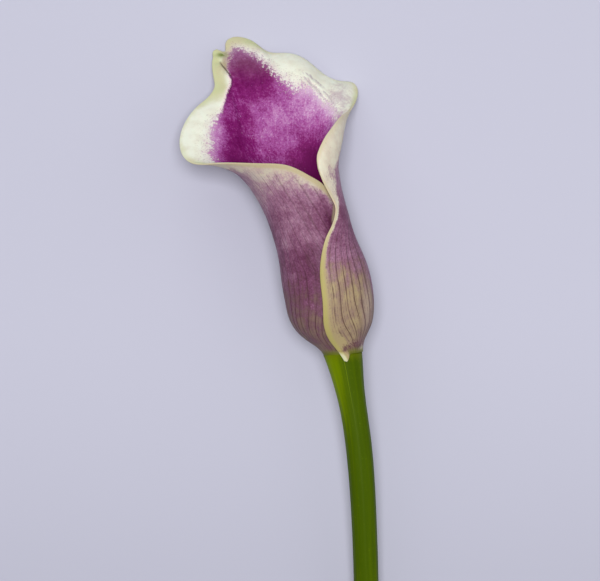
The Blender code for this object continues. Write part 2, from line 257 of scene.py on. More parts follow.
# %% [markdown]
# ## The foot
# On the real bloom nothing marks the joint: the leaf simply runs into the skin of the stalk. So the last
# few millimetres of each rib are drawn in until they lie on the stalk. Only the covering margin stays
# proud, and ends in a small fleshy tip that hangs over the stalk.

# %% Draw the foot in onto the stalk
STALK = np.array([
    (0.8, -0.1, 33, 7), (-3.5, 0.95, 33, 6.3), (-8.6, 1.9, 33, 5.6), (-15.8, 3.2, 32.8, 4.95),
    (-30, 5.4, 32.2, 4.7), (-52, 7.3, 30.4, 4.55), (-81, 8.5, 26.6, 4.45), (-130, 9.5, 18.2, 4.35),
])
SHOULDER = STALK[0, 0]          # the height of the stalk's shoulder, in its middle
FOOT_REACH = 3.6                # the ribs are drawn in over this much height
FOOT_DROP = 0.75                # and the foot comes down this far, to lap onto the stalk
FOOT_PROUD = 0.06               # the feathered foot lies this far outside the stalk's skin
TIP_PROUD, TIP_FROM, TIP_TO = 1, 291, 303       # the covering margin stands off the stalk past these angles
LOWEST = -20                    # no part of the leaf hangs this low


def stalk_at(heights):
    """Centre in X, centre in Z and radius of the stalk at these heights."""
    return smooth(-STALK[:, 0], STALK[:, 1:], -np.asarray(heights).ravel())


hanging = soft_step(angles, TIP_FROM, TIP_TO)[:, None]
drawn = 1 - soft_step(leaf[..., 1], SHOULDER, SHOULDER + FOOT_REACH)
leaf[..., 1] -= FOOT_DROP * drawn**2 * (1 - hanging)
stalk_x, stalk_z, stalk_radius = stalk_at(np.clip(leaf[..., 1], LOWEST, SHOULDER)).T.reshape(3, RIBS, RINGS)
away = np.hypot(leaf[..., 0] - stalk_x, leaf[..., 2] - stalk_z)
wanted = stalk_radius + FOOT_PROUD + TIP_PROUD * hanging
pull = 1 + (wanted / away - 1) * drawn**4
leaf[..., 0] = stalk_x + (leaf[..., 0] - stalk_x) * pull
leaf[..., 2] = stalk_z + (leaf[..., 2] - stalk_z) * pull
print("the foot meets the stalk at a radius of %.2f mm" % away[RIBS // 2, 0])

# %% [markdown]
# ## Distances on the leaf
# The finishes need to know where on the leaf they are. Four distances say it: along the vein from the foot,
# back from the rim, in from either margin, and across the veins. Near the covering margin the veins run
# along that margin instead of along the ribs, so there the distance across is counted from it.

# %% Measure the leaf
VEIN_PER_DEGREE = 0.28          # millimetres from vein to vein for each degree round the throat
VEIN_TURNS_FROM, VEIN_TURNS_TO = 235, 292

along = travelled(leaf, 1)
from_rim = along[:, -1:] - along + cuts[:, None]
from_inner = travelled(leaf, 0)
from_outer = from_inner[-1:] - from_inner
from_edge = np.minimum.reduce([along[:, -1:] - along, from_inner, from_outer])
by_margin = soft_step(angles, VEIN_TURNS_FROM, VEIN_TURNS_TO)[:, None]
across = (1 - by_margin) * VEIN_PER_DEGREE * angles[:, None]
across = across + by_margin * (VEIN_PER_DEGREE * angles[-1] - from_outer)
print("longest vein %.0f mm, widest round the rim %.0f mm" % (along.max(), from_inner.max()))

# %% [markdown]
# ## Two skins
# A spathe is about a millimetre thick and thins to a soft round edge. So the grid of ribs becomes two
# skins, set apart by the thickness. The outer one gets very shallow pleats along the veins.

# %% Two skins
EDGE_THICKNESS, WALL_THICKNESS, EDGE_TAPER = 0.55, 1, 8
FOOT_THICKNESS, FOOT_TAPER = 0.05, 5
PLEAT, PLEAT_PITCH, PLEAT_WANDER = 0.05, 3.3, 0.9
PLEATS_FROM_EDGE, PLEATS_FROM_FOOT = (1, 6), (1, 8)     # the pleats begin over these distances

outward = unit(np.cross(np.gradient(leaf, axis=1), np.gradient(leaf, axis=0)))
thickness = EDGE_THICKNESS + (WALL_THICKNESS - EDGE_THICKNESS) * soft_step(from_edge, 0, EDGE_TAPER)
feathered = (1 - soft_step(along, 0, FOOT_TAPER)) * (1 - hanging)
thickness += (FOOT_THICKNESS - thickness) * feathered
pleats = PLEAT * np.sin(2 * math.pi * across / PLEAT_PITCH + PLEAT_WANDER * np.sin(across))
pleats *= soft_step(from_edge, *PLEATS_FROM_EDGE) * soft_step(along, *PLEATS_FROM_FOOT)
outer_skin = leaf + outward * pleats[..., None]
inner_skin = leaf - outward * thickness[..., None]
print("wall %.2f mm, edge %.2f mm thick" % (thickness.max(), EDGE_THICKNESS))

# %% [markdown]
# ## Folds and wrinkles
# Beside the pointed tip the leaf is creased over itself, and its pale margin has a few raised wrinkles.
# Folding a thick sheet point by point can push one skin through the other. It can't happen if the fold
# moves every point by an amount that depends only on where it is seen from the front, so both skins are
# folded that way.

# %% Fold the tip
# The fold: its line in X, Y with the height of the step on it, how far the step fades away on its left and
# its right, how sharp the step is, how high it is, and how far the left side hangs over the right.
FOLD = np.array([
    (-45.4, 108.6, 0), (-44.8, 107.2, 0.8), (-43.9, 106, 1), (-42.9, 104.7, 1), (-41.7, 103.1, 1),
    (-40.9, 101.7, 1), (-40.8, 100.3, 1), (-41, 99, 1), (-41.5, 97.6, 1), (-42.1, 96.2, 1),
    (-42.7, 93.6, 0.8), (-43.4, 90.9, 0.5), (-44.2, 88.6, 0.2), (-45, 86.2, 0)])
FOLD_LEFT, FOLD_RIGHT, FOLD_SHARPNESS, FOLD_HEIGHT, FOLD_OVERHANG = 2.6, 3.6, 0.22, 1.3, 0.35
HANG_MIDDLE, HANG_WIDTH = -0.4, 0.9     # the part that hangs over, measured to the right of the fold's line
LINE_STEPS, LINE_ENDS = 161, 1.2        # how finely a line is drawn, how softly the fold ends
WRINKLE_ENDS = 1
# Only points between these corners, X, Y, Z, can be near the fold or a wrinkle.
FAR = 999
FOLD_ZONE, WRINKLE_ZONE = ((-FAR, 84, -FAR), (-34, FAR, 30)), ((-20, 90, -FAR), (FAR, FAR, 20))
# Raised wrinkles in the pale margin: line in X, Y with the height on it, width.
WRINKLES = (
    (((-15.2, 102.9, 0), (-13.6, 102.8, 0.5), (-12.1, 102.2, 0.6), (-10.6, 101.5, 0)), 0.55),
    (((-14.9, 102.2, 0), (-14, 101.1, 0.7), (-12.5, 99.2, 0.9), (-10.7, 97.8, 0.9), (-8.8, 95.9, 0.7),
      (-7.8, 94.7, 0)), 0.6),
    (((-12.9, 101.9, 0), (-12.1, 101.5, 0.5), (-9.9, 100, 0.7), (-7.7, 98.1, 0.6), (-5.6, 97.3, 0)),
     0.6),
    (((-8.2, 97.2, 0), (-7.3, 96.3, 0.4), (-5.1, 94, 0.5), (-3.6, 91.4, 0.3), (-3, 90.2, 0)), 0.6),
)


def within(points, corners):
    """Which of the points lie between two corners."""
    return ((points > corners[0]) & (points < corners[1])).all(axis=-1)


def beside(points, line):
    """How far right of a line points are and how far past its ends, from the front, and its height there."""
    line = smooth(np.arange(len(line)), line, np.linspace(0, len(line) - 1, LINE_STEPS))
    run = unit(np.gradient(line[:, :2], axis=0))
    offsets = points[:, None, :2] - line[None, :, :2]
    nearest = (offsets**2).sum(axis=2).argmin(axis=1)
    offset = offsets[np.arange(len(points)), nearest]
    run = run[nearest]
    right = offset[:, 1] * run[:, 0] - offset[:, 0] * run[:, 1]
    return right, (offset * run).sum(axis=1), np.maximum(line[nearest, 2], 0)


def fold(skin):
    """Makes the fold at the tip and the wrinkles in a skin."""
    flat = skin.reshape(-1, 3)
    near = within(flat, FOLD_ZONE)
    right, past, height = beside(flat[near], FOLD)
    height = height * bell(past, 0, LINE_ENDS)
    side = np.tanh(right / FOLD_SHARPNESS)
    reach = np.where(right < 0, FOLD_LEFT, FOLD_RIGHT)
    flat[near, 2] -= FOLD_HEIGHT * side * height * bell(right, 0, reach)
    flat[near, 0] += FOLD_OVERHANG * height * bell(right, HANG_MIDDLE, HANG_WIDTH)
    near = within(flat, WRINKLE_ZONE)
    for line, width in WRINKLES:
        right, past, height = beside(flat[near], np.array(line))
        flat[near, 2] += height * bell(right, 0, width) * bell(past, 0, WRINKLE_ENDS)


for skin in (outer_skin, inner_skin):
    fold(skin)
print("the fold stands %.1f mm high, and there are %d wrinkles" % (2 * FOLD_HEIGHT, len(WRINKLES)))

# %% [markdown]
# ## Closing the sheet
# The two skins are joined all round by a half-round edge, so the leaf is one closed solid with a soft rim
# that catches the light. At the foot the leaf thins almost to nothing, so no edge shows there.

# %% Round the edge and make the mesh
EDGE_TURNS = np.radians([36, 72, 108, 144])


def edge_walk():
    """The grid's border in order: each spot with its neighbour inside the sheet."""
    last_rib, last_ring = RIBS - 1, RINGS - 1
    walk = [((i, 0), (i, 1)) for i in range(last_rib)]
    walk += [((last_rib, j), (last_rib - 1, max(j, 1))) for j in range(last_ring)]
    walk += [((i, last_ring), (i, last_ring - 1)) for i in range(last_rib, 0, -1)]
    walk += [((0, j), (1, min(j, last_ring - 1))) for j in range(last_ring, 0, -1)]
    return walk


def grid_faces(grid):
    """A four-sided face for every cell of a grid of point numbers."""
    return np.stack([grid[:-1, :-1], grid[:-1, 1:], grid[1:, 1:], grid[1:, :-1]], axis=-1).reshape(-1, 4)


border, inside_border = (tuple(spots) for spots in np.array(edge_walk()).transpose(1, 2, 0))
outer_edge, inner_edge = outer_skin[border], inner_skin[border]
half, middle_edge = (outer_edge - inner_edge) / 2, (outer_edge + inner_edge) / 2
out_of_sheet = unit(outer_edge - outer_skin[inside_border])
bulge = out_of_sheet * np.linalg.norm(half, axis=1, keepdims=True)
arcs = [middle_edge + half * math.cos(turn) + bulge * math.sin(turn) for turn in EDGE_TURNS]

skin_count = RIBS * RINGS
points = np.concatenate([outer_skin.reshape(-1, 3), inner_skin.reshape(-1, 3)] + arcs)
flat_border = np.ravel_multi_index(border, (RIBS, RINGS))
edge_points = 2 * skin_count + np.arange(len(arcs) * len(flat_border)).reshape(len(arcs), -1)
loops = np.vstack([flat_border, edge_points, skin_count + flat_border])
skin_faces = grid_faces(np.arange(skin_count).reshape(RIBS, RINGS))
faces = np.concatenate([
    skin_faces, skin_count + skin_faces[:, ::-1], grid_faces(np.column_stack([loops, loops[:, 0]]))])


def add_object(name, data):
    """Puts a mesh, a lamp or a camera into the scene."""
    piece = bpy.data.objects.new(name, data)
    bpy.context.scene.collection.objects.link(piece)
    return piece


def make_piece(name, points, faces):
    """A smooth-shaded object from points in the flower's frame."""
    mesh = bpy.data.meshes.new(name)
    mesh.from_pydata(laid_down(points).tolist(), [], faces)
    mesh.shade_smooth()
    return add_object(name, mesh)


spathe = make_piece("rolled_spathe", points, faces.tolist())
print("spathe:", len(points), "points,", len(faces), "faces")

# %% [markdown]
# ## The leaf laid flat
# A painter would unroll the leaf before painting it. This map does the same. The outer skin fills the left
# half of a sheet and the inner skin the right half, ribs upright. The rounded edge runs along the bottom as
# a band.

# %% Lay the leaf flat
BAND, GAP = 0.05, 0.004         # how high the band is and how wide the gaps are, of a sheet 1 by 1


def flat_grid(rows, columns):
    """The places on the sheet of a grid of points."""
    return np.stack(np.meshgrid(rows, columns, indexing="ij"), axis=-1).reshape(-1, 2)


up_sheet = np.linspace(BAND + GAP, 1 - GAP, RINGS)
band = flat_grid(np.linspace(0, BAND - GAP, len(loops)), np.linspace(0, 1, len(flat_border) + 1))[:, ::-1]
flat_places = np.concatenate([
    flat_grid(np.linspace(0.5 - GAP, GAP, RIBS), up_sheet)[skin_faces.ravel()],
    flat_grid(np.linspace(0.5 + GAP, 1 - GAP, RIBS), up_sheet)[skin_faces[:, ::-1].ravel()],
    band[grid_faces(np.arange(len(band)).reshape(len(loops), -1)).ravel()]])
flat_map = spathe.data.uv_layers.new(name="OFBake")
flat_map.data.foreach_set("uv", flat_places.ravel())
print("laid flat:", len(flat_places), "corners")

# %% [markdown]
# ## Where each colour lies
# The colours of this calla follow its growth. Inside, the throat's purple climbs towards the rim and breaks
# up into specks before a pale margin of changing width. Outside, the same blush is duller, and the base
# keeps the olive of the bud. Each of these is stored on the mesh as a plain number: mostly a distance in
# millimetres.

# %% Where the colours lie
# The pale margin inside: angle, how wide it is, over how many millimetres it breaks up.
PALE_INSIDE = np.array([
    (-42, 8, 2), (60, 8, 2), (85, 8.2, 1.6), (97, 11.4, 1.4), (105, 10.4, 1.3), (111, 9, 1.2), (118, 7.6, 1),
    (124, 7.5, 1), (130, 8.8, 1), (136, 10.4, 1), (141, 11.6, 1.1), (143.5, 9.4, 1.2), (145, 8.2, 1.2),
    (147, 6.9, 1.2), (149, 6, 1.3), (151, 5.2, 1.4), (154, 7.6, 1.5), (157, 11, 1.9), (160, 12.4, 2.3),
    (164, 13.2, 2.6), (170, 13.6, 2.6), (175, 15, 2.4), (182, 17.6, 2), (190, 16, 1.9), (198, 14, 1.7),
    (205, 13, 1.6), (211, 14, 1.7), (217, 15.2, 1.8), (224, 17.2, 2), (231, 20, 2.3), (240, 21.5, 2.6),
    (248, 15, 2.4), (262, 9, 2), (320, 8, 2)])
# The pale margin outside: angle, how wide it is, how creamy.
PALE_OUTSIDE = np.array([
    (-42, 2.4, 0), (-30, 2.9, 0), (-12, 3.2, 0), (15, 3.4, 0), (40, 4.2, 0.1), (60, 4.6, 0.3), (85, 8, 0.7),
    (120, 9, 1), (150, 6, 1), (180, 10, 1), (230, 12, 1), (255, 12, 1), (270, 12.5, 1), (285, 12.5, 1),
    (296, 11.5, 1), (303, 9.6, 1), (310, 7.4, 1), (315, 6, 0.9), (320, 5.2, 0.8)])
# The rim's tint on either side: angle, how wide it is, how strong.
RIM_INSIDE = np.array([
    # The rows at 80 and 90 degrees widen the greenish rim tint as painted shade on the low edge of the left
    # lobe.
    (-42, 3.4, 1), (40, 3.2, 0.8), (62, 2.4, 0.6), (80, 5, 0.7), (90, 4, 0.5), (100, 2.2, 0.30),
    (112, 3, 0.5), (120, 8, 0.75), (126, 13, 0.9), (134, 15, 1), (141, 12, 1), (146, 8, 0.9), (152, 10, 0.9),
    (159, 14, 0.95), (166, 11, 0.85), (173, 4, 0.5), (182, 3, 0.35), (215, 3, 0.35), (232, 5, 0.5),
    (242, 7, 0.7), (255, 5.5, 0.7), (275, 5, 0.7), (320, 3, 0.9)])
RIM_OUTSIDE = np.array([
    (-42, 5, 1), (-20, 4.6, 0.95), (5, 3.4, 0.9), (40, 2.8, 0.85), (62, 2.6, 0.7), (80, 2.6, 0.5),
    (110, 3, 0.5), (130, 8, 0.8), (158, 9, 0.9), (175, 5, 0.6), (230, 5, 0.6), (270, 4, 0.5), (300, 3.2, 0.6),
    (320, 3.1, 1)])
# The covering margin begins over these angles. Its pale band turns tan below the first pair of heights and
# narrows below the second: the band is narrower by the scale, and lower down by the narrowing as well.
COVERS_AT, TAN_BELOW, NARROW_BELOW = (250, 285), (30, 54), (46, 70)
BAND_SCALE, BAND_NARROWING = 1.2, 1.3


def table_along(table, column=1):
    """A column of a table, read for every rib."""
    return np.interp(angles, table[:, 0], table[:, column])[:, None]


def rim_colouring(table):
    """How strong the rim's tint is: the table's strength at the edge, fading over the table's width."""
    return (1 - soft_step(from_edge, 0, table_along(table))) * table_along(table, 2)


height = leaf[..., 1]
covering = soft_step(angles, *COVERS_AT)[:, None]
low_flap = covering * (1 - soft_step(height, *TAN_BELOW))
narrow_band = covering * (1 - soft_step(height, *NARROW_BELOW))
inner_blush = (from_rim - table_along(PALE_INSIDE)) / table_along(PALE_INSIDE, 2)
band_scale = BAND_SCALE + BAND_NARROWING * narrow_band
outer_blush = np.minimum(from_rim, from_outer * band_scale) - table_along(PALE_OUTSIDE)
print("the pale margin is %.0f to %.0f mm wide inside" % (PALE_INSIDE[:, 1].min(), PALE_INSIDE[:, 1].max()))

# %% [markdown]
# ## How deep each colour is
# The purple is not even. It is deepest down the throat and lightest where the leaf bends most. Behind the
# tip, and along the margin tucked under the covering one, it is deepened as painted shade; on the left of the
# front it is paled as painted light. Broad soft patches say so: 0 is deep and 1 is pale inside, and the other
# way round outside.
# Outside, the bud's olive is strongest at the foot, and the veins show best there and on the covering
# margin.

# %% How deep each colour is
INNER_TONE, OUTER_TONE, COVERING_TONE = 0.34, 0.22, 0.54    # before the patches; the last on that margin
# Patches: how much the tone changes at the middle, the middle in X and Y, how far it reaches in X and Y.
PALER_INSIDE = (
    (0.25, (-26, 85), (10, 9)), (0.37, (-12, 92), (8, 7)), (-0.25, (-39, 78), (6, 14)),
    # The patch at (-33, 100), behind the tip, deepens the purple as painted shade.
    (-0.20, (-33, 100), (8, 9)), (-0.56, (-9, 67), (9, 9)), (0.20, (-36, 113), (8, 3.5)),
    (0.40, (-45, 78), (3.5, 8)), (0.22, (-4, 86), (3, 6)))
DEEPER_OUTSIDE = (
    # The patch at (-31, 57) is painted light: it pales the front's left side, which the lamps reach only at a
    # slant.
    (0.06, (-7, 48), (7, 16)), (-0.30, (-31, 57), (5, 12)), (0.10, (-10, 36), (5, 9)),
    (-0.10, (-22, 38), (4, 8)), (0.08, (-12, 18), (4, 8)), (-0.14, (-25, 66), (7, 4)))
VEIN_SLANT, SLANT_FROM, SLANT_ANGLE, SLANT_WIDTH = 0.35, 34, 10, 60     # veins lean across the front


def patch(middle, reach, skin=inner_skin):
    """A soft round patch in the view from the front: 1 at its middle, fading to 0."""
    return bell(skin[..., 0], middle[0], reach[0]) * bell(skin[..., 1], middle[1], reach[1])


inner_tone = INNER_TONE + sum(change * patch(middle, reach) for change, middle, reach in PALER_INSIDE)
# Painted shade: the front is deepened along the margin tucked under the covering one, where the overlap
# shades it.
painted_shade_by_tuck = soft_step(-angles, 6, 34)[:, None] * soft_step(from_rim, 2, 8)
outer_tone = OUTER_TONE + 0.32 * soft_step(outer_blush, -1, 10) + 0.24 * soft_step(outer_blush, 14, 34)
outer_tone += 0.30 * painted_shade_by_tuck
outer_tone += sum(change * patch(middle, reach, leaf) for change, middle, reach in DEEPER_OUTSIDE)
outer_tone += covering * (COVERING_TONE - outer_tone) * soft_step(outer_blush, -1, 3)
outer_tone += covering * (0.06 * bell(height, 50, 9) - 0.22 * soft_step(height, 56, 72))
outer_tone += 0.12 * patch((1, 46), (4, 7), leaf)
olive = (1 - covering) * 0.95 * (1 - soft_step(height, -2, 44))
by_flap = (1 - soft_step(from_outer, 20, 32)) * (angles[:, None] > 180)
olive += by_flap * (1.15 - olive) * (1 - soft_step(height, 18, 44))
olive -= 0.35 * patch((6, 4), (4, 4), leaf)
veined = (1 - covering) * (0.90 - 0.40 * soft_step(height, 12, 46))
veined += covering * (1 - soft_step(height, 34, 56))
leaning = VEIN_SLANT * np.maximum(along - SLANT_FROM, 0) * bell(angles, SLANT_ANGLE, SLANT_WIDTH)[:, None]
print("tone inside: %.2f deep to %.2f pale" % (inner_tone.min(), inner_tone.max()))

# %% [markdown]
# ## Small marks
# The last touches are small. The fold's edge gets a painted highlight, and above it the crease gets a dark
# line of painted shadow. The wrinkles get grey-lilac painted shade on their sides, the tip gets tan painted
# shade and a green point darkened with painted shade, and plum spots lie near the foot. The foot itself turns
# green at the joint, and the covering margin ends in a pale fleshy tip.

# %% Mark the fold, the wrinkles and the tips
# Where the fold's painted highlight and the crease's painted shadow lie, right of the fold's line.
FOLD_HIGHLIGHT_BAND, CREASE_SHADOW_BAND = (-0.35, 0.5), (0.3, 0.3)         # middle and width, right of the fold's line
FOLD_REACH, FOLD_SHIFT, FOLD_CONTRAST = 3.5, 0.1, 4         # the purple ends sharply along the fold
SHARP_BELOW, LIT_BELOW = (102, 104.5), (101.6, 103.4)       # heights
SHADED_ZONE = ((-20, 88, -FAR), (FAR, FAR, 22))
flat_inner = inner_skin.reshape(-1, 3)
at_fold = within(flat_inner, FOLD_ZONE)
fold_y = flat_inner[at_fold, 1]
right, past, crease = beside(flat_inner[at_fold], FOLD)
crease = np.clip(2 * crease, 0, 1) * bell(past, 0, LINE_ENDS)
sharp = crease * bell(right, 0, FOLD_REACH) * (1 - soft_step(fold_y, *SHARP_BELOW))
flat_blush = inner_blush.reshape(-1)
flat_blush[at_fold] = flat_blush[at_fold] * (1 - sharp) + sharp * FOLD_CONTRAST * (right + FOLD_SHIFT)
painted_fold_highlight, painted_crease_shadow, wrinkled = np.zeros((3, skin_count))
high_on_fold = soft_step(fold_y, *LIT_BELOW)
painted_fold_highlight[at_fold] = crease * bell(right, *FOLD_HIGHLIGHT_BAND) * (1 - high_on_fold)
painted_crease_shadow[at_fold] = crease * bell(right, *CREASE_SHADOW_BAND) * high_on_fold
# Painted shade: grey-lilac bands beside each raised wrinkle, where its sides turn from the light.
at_wrinkles = within(flat_inner, SHADED_ZONE)
for line, width in WRINKLES:
    right, past, ridge = beside(flat_inner[at_wrinkles], np.array(line))
    shade = bell(np.abs(right), 1.5 * width, 0.6 * width) * bell(past, 0, WRINKLE_ENDS)
    wrinkled[at_wrinkles] = np.maximum(wrinkled[at_wrinkles], np.clip(2 * ridge, 0, 1) * shade)
joint = (1 - hanging) * (1 - soft_step(along, -0.4, 3.6))
fleshy_tip = hanging * (1 - soft_step(along, 1, 6)) * soft_step(angles, 303, 316)[:, None]
dusty = soft_step(inner_skin[..., 1], 96, 112) * (inner_skin[..., 2] < 30) * (inner_skin[..., 0] < -22)
lilac = patch((-1, 94), (4.5, 6.5)) + 0.7 * patch((-31.8, 110.4), (4.5, 3.2))
# Painted shade: the tan patch just below the point, where the leaf turns away from the light.
tan_tip = patch((-42.6, 107.8), (2.4, 4.2)) * (inner_skin[..., 2] < 20)
# The green point of the tip, darkened with painted shade on its underside.
green_tip_painted_shade = patch((-44.6, 111), (1.9, 0.9)) * (leaf[..., 2] < 20)
plum_spot = patch((0.6, 2.8), (1.8, 1.8), leaf) + patch((4.6, 4), (3.2, 2.2), leaf)
# Painted light: the tube's right edge, low down, is painted paler where it turns away from the lamps.
worn_pale = soft_step(angles, 238, 262)[:, None] * patch((9.5, 17), (3.2, 14), leaf)
outer_blush -= 2.8 * covering * patch((-1.5, 57), (3, 7), leaf)
print("marked:", at_fold.sum(), "points near the fold,", at_wrinkles.sum(), "near the wrinkles")

# %% [markdown]
# ## Onto the mesh
# Each number is stored once for every point of the mesh: the outer skin's, the inner skin's, and the
# rounded edge's, which takes the nearer skin's. A finish can then read it by name.

# %% Store the numbers
def spread(outer, inner):
    """One number for every point of the spathe's mesh."""
    outer, inner = (np.broadcast_to(v, (RIBS, RINGS)).ravel() for v in (outer, inner))
    return np.concatenate([outer, inner] + [side[flat_border] for side in (outer, outer, inner, inner)])


def store(piece, name, values):
    attribute = piece.data.attributes.new(name, "FLOAT", "POINT")
    attribute.data.foreach_set("value", np.ascontiguousarray(values, dtype=np.float32))


# Each name with the number outside and the number inside.
stored = {
    "inside": (0, 1), "blush": (outer_blush, inner_blush), "tone": (outer_tone, inner_tone),
    "across": (across - leaning, across), "along": (along, along),
    "rim_tint": (rim_colouring(RIM_OUTSIDE), rim_colouring(RIM_INSIDE)),
    "fleshy_tip": (fleshy_tip, fleshy_tip), "green_tip_painted_shade": (green_tip_painted_shade, green_tip_painted_shade),
    "olive": (olive, 0), "veined": (veined, 0), "covering": (covering, 0), "low_flap": (low_flap, 0),
    "joint": (joint, 0), "creamy": (table_along(PALE_OUTSIDE, 2), 0), "plum_spot": (plum_spot, 0),
    "worn_pale": (worn_pale, 0), "dusty": (0, dusty), "lilac": (0, lilac), "tan_tip": (0, tan_tip)}
for name, values in (("painted_fold_highlight", painted_fold_highlight), ("painted_crease_shadow", painted_crease_shadow), ("wrinkled", wrinkled)):
    stored[name] = (0, values.reshape(RIBS, RINGS))
for name, (outside_value, inside_value) in stored.items():
    store(spathe, name, spread(outside_value, inside_value))
print("stored:", ", ".join(stored))

# %% [markdown]
# ## Mixing finishes
# A finish is a small recipe: take a number stored on the mesh, break it up with noise, turn it into a soft
# step, and lay one colour over another by that step. These few helpers let a recipe read like that. Colours
# are written as a paint chart gives them, from 0 to 255.

# %% Helpers for recipes
def chart(red, green, blue):
    """A paint chart's colour as the linear values that Blender mixes."""
    share = np.array([red, green, blue]) / 255
    linear = np.where(share <= 0.04045, share / 12.92, ((share + 0.055) / 1.055)**2.4)
    return (*linear.tolist(), 1)


class Recipe:
    """A material under construction. Each call adds a node or more and hands back the last one's output."""

    def __init__(self, name, roughness):
        self.material = bpy.data.materials.new(name)
        self.material.use_nodes = True
        self.tree = self.material.node_tree
        self.shader = self.tree.nodes["Principled BSDF"]
        self.feed(self.shader, Roughness=roughness)
        self.room = self.node("TexCoord").outputs["Object"]

    def node(self, kind, *values, **settings):
        """A new node with these settings. The values go into its sockets in their order."""
        node = self.tree.nodes.new("ShaderNode" + kind)
        for name, setting in settings.items():
            setattr(node, name, setting)
        for socket, value in zip(node.inputs, values):
            self.connect(socket, value)
        return node

    def connect(self, socket, value):
        if isinstance(value, bpy.types.NodeSocket):
            self.tree.links.new(value, socket)
        else:
            socket.default_value = value

    def feed(self, node, **values):
        """Feeds some of a node's sockets by name, and hands back the node."""
        for name, value in values.items():
            self.connect(node.inputs[name.replace("_", " ")], value)
        return node

    def stored(self, name):
        return self.node("Attribute", attribute_name=name).outputs["Fac"]

    def calc(self, operation, *values):
        return self.node("Math", *values, operation=operation).outputs["Value"]

    def times(self, first, *factors):
        for factor in factors:
            first = self.calc("MULTIPLY", first, factor)
        return first

    def plus(self, total, *terms):
        """The first value and a number of (value, factor) pairs, each value counted from its middle, 0.5."""
        for value, factor in terms:
            total = self.calc("MULTIPLY_ADD", self.calc("SUBTRACT", value, 0.5), factor, total)
        return total

    def step(self, value, start, end, low=0, high=1):
        slope = self.node("MapRange", value, start, end, low, high, interpolation_type="SMOOTHSTEP")
        return slope.outputs["Result"]

    def join(self, x, y, z=0):
        return self.node("CombineXYZ", x, y, z).outputs["Vector"]

    def noise(self, vector, scale=1, detail=2, roughness=0.5):
        sockets = dict(Vector=vector, Scale=scale, Detail=detail, Roughness=roughness)
        return self.feed(self.node("TexNoise"), **sockets).outputs["Fac"]

    def lines(self, position, randomness):
        """Distance to the nearest of some unevenly spaced lines across a number line."""
        node = self.node("TexVoronoi", voronoi_dimensions="1D", feature="DISTANCE_TO_EDGE")
        return self.feed(node, W=position, Scale=1, Randomness=randomness).outputs["Distance"]

    def mix(self, share, first, second):
        """Two colours mixed. Either is another node's colour, or three numbers as on a paint chart."""
        first, second = (chart(*c) if isinstance(c, tuple) else c for c in (first, second))
        node = self.node("Mix", data_type="RGBA")
        return self.feed(node, Factor=share, A=first, B=second).outputs["Result"]

    def stain(self, under, colour, value, start, end, *noises, most=1):
        """Lays a colour over another where a value, or a stored number, is high. Noises roughen its edge."""
        value = self.stored(value) if isinstance(value, str) else value
        return self.mix(self.step(self.plus(value, *noises), start, end, 0, most), under, colour)

    def ramp(self, value, stops):
        """A colour read off a strip of colours: each stop is a place from 0 to 1 and a colour."""
        node = self.node("ValToRGB", value)
        while len(node.color_ramp.elements) < len(stops):
            node.color_ramp.elements.new(0.5)
        for element, (place_on_strip, colour) in zip(node.color_ramp.elements, stops):
            element.position = place_on_strip
            element.color = chart(*colour)
        return node.outputs["Color"]

    def bump(self, height, strength, distance):
        node = self.feed(self.node("Bump"), Height=height, Strength=strength, Distance=distance)
        self.feed(self.shader, Normal=node.outputs["Normal"])

    def finish(self, piece, colour, **surface):
        """Puts the finish on a piece. The surface's own numbers go straight to the shader."""
        self.feed(self.shader, Base_Color=colour, **surface)
        piece.data.materials.clear()
        piece.data.materials.append(self.material)


print("chart(234, 235, 222) is", [round(v, 2) for v in chart(234, 235, 222)])

# %% [markdown]
# ## The skin of the spathe
# The inside is velvety: tiny raised cells make the purple look sprinkled with lighter and darker grains.
# The outside is smoother and duller. Both begin with noise of several sizes, and some of it is drawn out
# along the veins.

# %% The grain of the spathe
petal = Recipe("spathe skin", 0.5)
mix, step, plus, times, stain, noise = (
    petal.mix, petal.step, petal.plus, petal.times, petal.stain, petal.noise)
inside, blush, tone, across_veins, along_veins = (
    petal.stored(name) for name in ("inside", "blush", "tone", "across", "along"))


def along_the_veins(across_scale, along_scale):
    """A place on the leaf for noise to read, drawn out along the veins."""
    return petal.join(times(across_veins, across_scale), times(along_veins, along_scale))


grain = noise(petal.room, 1 / (0.6 * MM), 2, 0.6)
speck = noise(along_the_veins(1.7, 0.8), 1, 2, 0.6)
mottle = noise(petal.room, 1 / (4 * MM), 3, 0.55)
cloud = noise(petal.room, 1 / (12 * MM))
streak = noise(along_the_veins(1.2, 0.11), 1, 3, 0.6)
wide_streak = noise(along_the_veins(0.42, 0.03))
print("grain, specks, mottle, clouds and two widths of streak")

# %% [markdown]
# ## The inside of the spathe
# The margin is cream with a green rim, and the throat is purple. The two don't meet in a line: the purple
# breaks up into specks over a few millimetres. So the distance from the edge of the purple is roughened
# with noise before it picks the colour. The same purple is then made deeper or paler by the broad patches.

# %% Inside: a pale margin, a green rim and a purple throat
rim_line = plus(petal.stored("rim_tint"), (mottle, 0.30))
rim_green = stain((209, 212, 164), (211, 206, 166), cloud, 0.45, 0.65)
inner_pale = stain((239, 242, 226), (230, 230, 212), mottle, 0.35, 0.7)
inner_pale = stain(inner_pale, rim_green, rim_line, 0.05, 0.85)
inner_pale = stain(
    inner_pale, (194, 176, 184), "lilac", 0.2, 1.2, (speck, 0.7), (mottle, 1.6), (grain, 0.4), most=0.8)
# Painted shade, tan, below the point.
inner_pale = stain(inner_pale, (172, 160, 128), "tan_tip", 0.1, 0.9, (speck, 0.4))
# Painted shade on the wrinkles' sides.
inner_pale = stain(inner_pale, (190, 176, 180), "wrinkled", 0.2, 0.9, (speck, 0.7), (grain, 0.5), most=0.75)
# Painted highlight: a pinkish-white line along the fold's edge.
inner_pale = mix(petal.stored("painted_fold_highlight"), inner_pale, (240, 220, 216))

